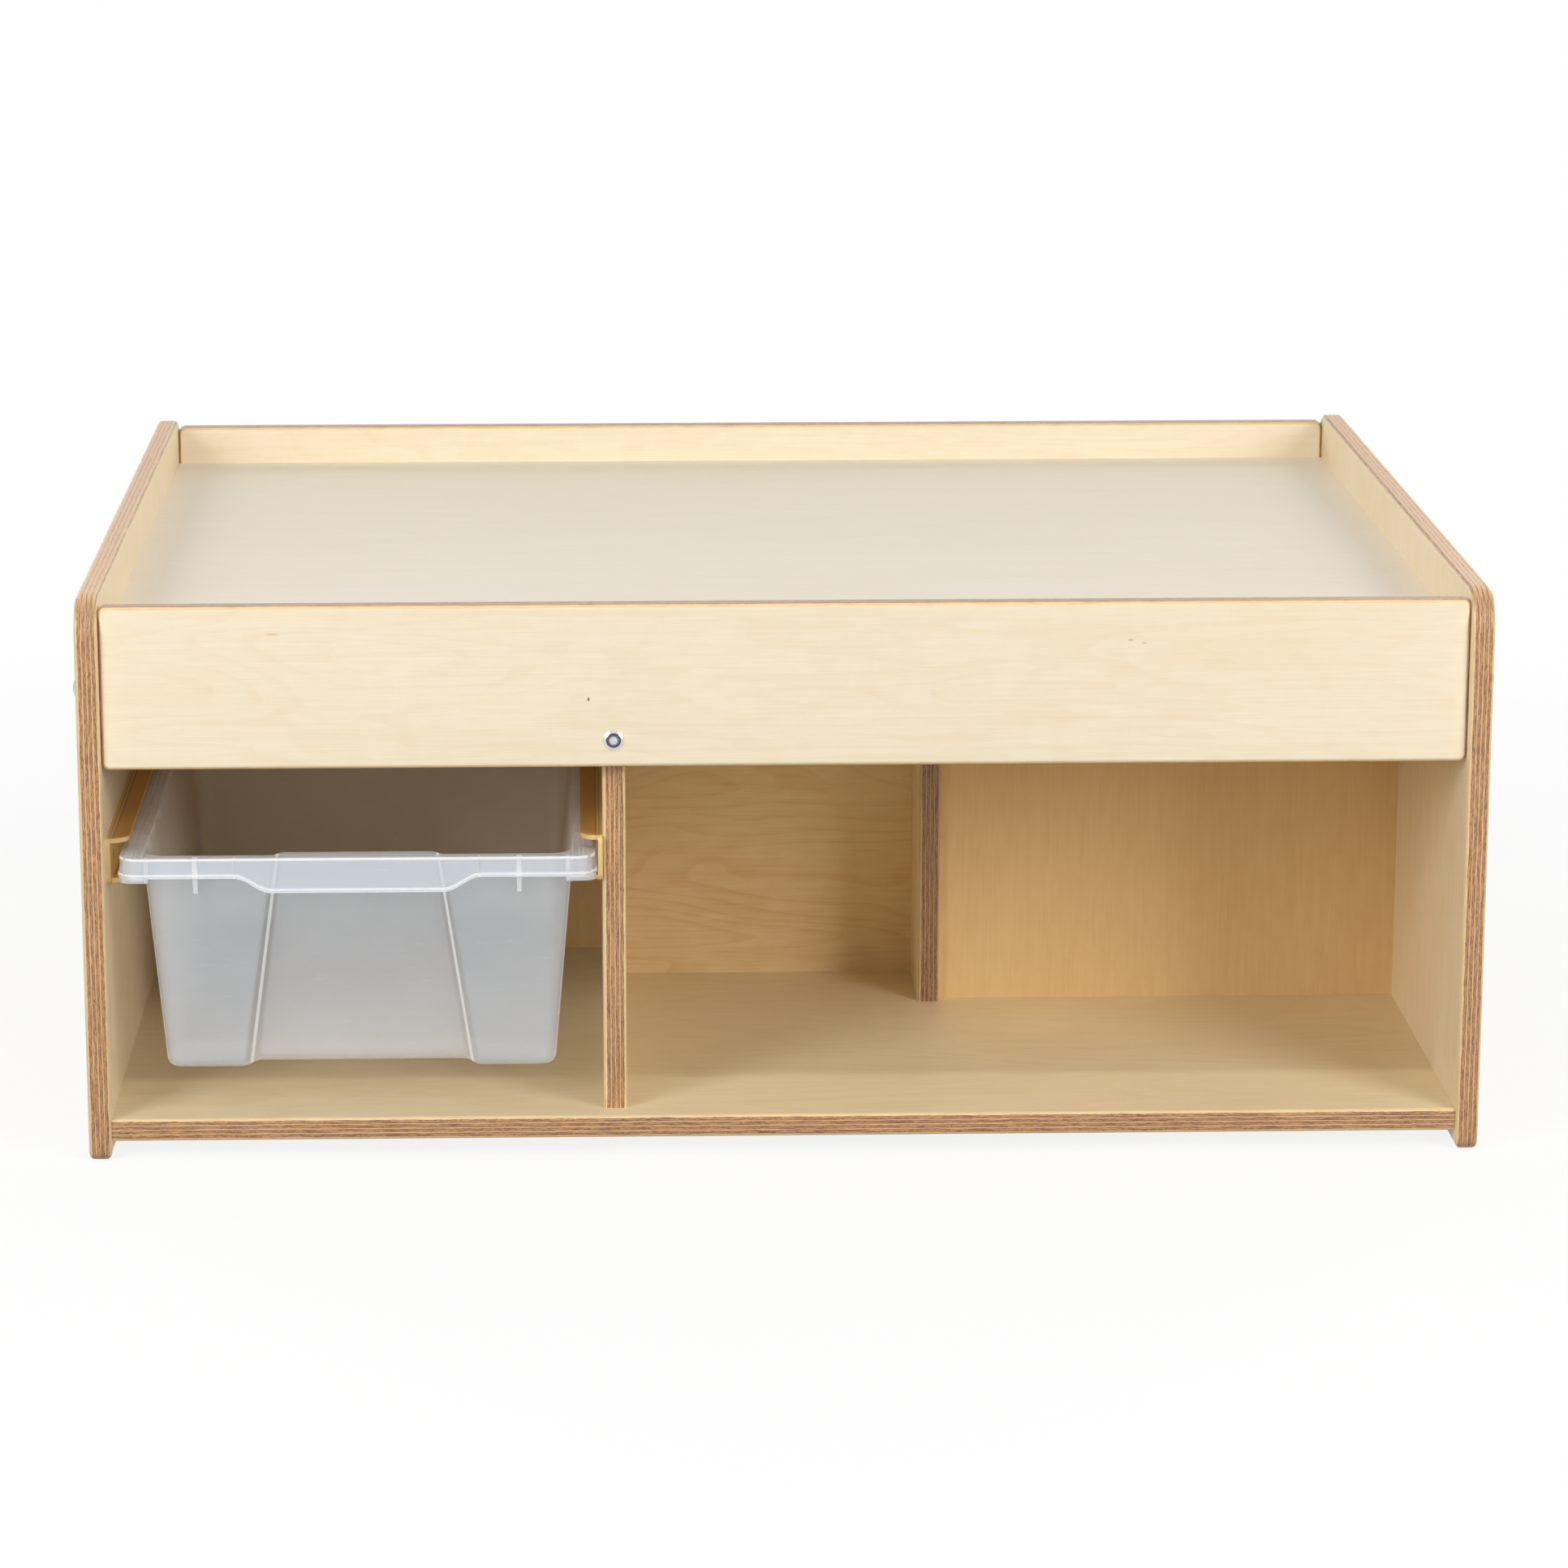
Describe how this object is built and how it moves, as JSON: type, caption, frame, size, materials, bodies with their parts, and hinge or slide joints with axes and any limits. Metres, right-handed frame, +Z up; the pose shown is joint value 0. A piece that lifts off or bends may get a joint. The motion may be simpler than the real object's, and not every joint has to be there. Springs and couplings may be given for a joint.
{
  "type": "play table",
  "caption": "Low birch plywood play table with a sunk play top, open shelves below and plastic storage trays that slide on runners.",
  "frame": {"origin": "on the floor under the middle of the table", "axes": "+X to the right along the table's length, +Y to the back, +Z up; the front is the -Y side"},
  "size_m": [0.918, 0.726, 0.375],
  "materials": {
    "birch_ply": "clear satin lacquer on birch plywood",
    "tray_plastic": "translucent moulded polypropylene",
    "runner_plastic": "tan moulded plastic",
    "bolt_steel": "bright plated steel",
    "zinc_steel": "zinc plated steel",
    "beech_dowel": "fluted beech dowel, plain here"
  },
  "bodies": {
    "table": {"left_end_panel": "birch_ply", "right_end_panel": "birch_ply", "front_apron": "birch_ply", "rear_apron": "birch_ply", "play_top": "birch_ply", "base_shelf": "birch_ply", "front_divider": "birch_ply", "rear_divider": "birch_ply", "centre_partition": "birch_ply", "front_bay_back": "birch_ply", "rear_bay_back": "birch_ply", "front_outer_runner": "runner_plastic", "front_inner_runner": "runner_plastic", "rear_outer_runner": "runner_plastic", "rear_inner_runner": "runner_plastic", "front_runner_screws": "zinc_steel", "rear_runner_screws": "zinc_steel", "left_panel_bolts": "bolt_steel", "right_panel_bolts": "bolt_steel", "front_apron_bolt": "bolt_steel", "rear_apron_bolt": "bolt_steel", "left_barrel_nuts": "zinc_steel", "right_barrel_nuts": "zinc_steel", "divider_barrel_nuts": "zinc_steel", "apron_dowels": "beech_dowel", "base_dowels": "beech_dowel", "top_dowels": "beech_dowel", "divider_dowels": "beech_dowel", "bay_back_dowels": "beech_dowel", "partition_dowels": "beech_dowel", "base_screws": "zinc_steel"},
    "front_tray": {"front_tray": "tray_plastic"},
    "rear_tray": {"rear_tray": "tray_plastic"}
  },
  "joints": [
    {"name": "front_tray_slide", "type": "slide", "parent": "table", "child": "front_tray", "axis": [0, -1, 0], "range_m": [0, 0.35]},
    {"name": "rear_tray_slide", "type": "slide", "parent": "table", "child": "rear_tray", "axis": [0, 1, 0], "range_m": [0, 0.35]}
  ]
}
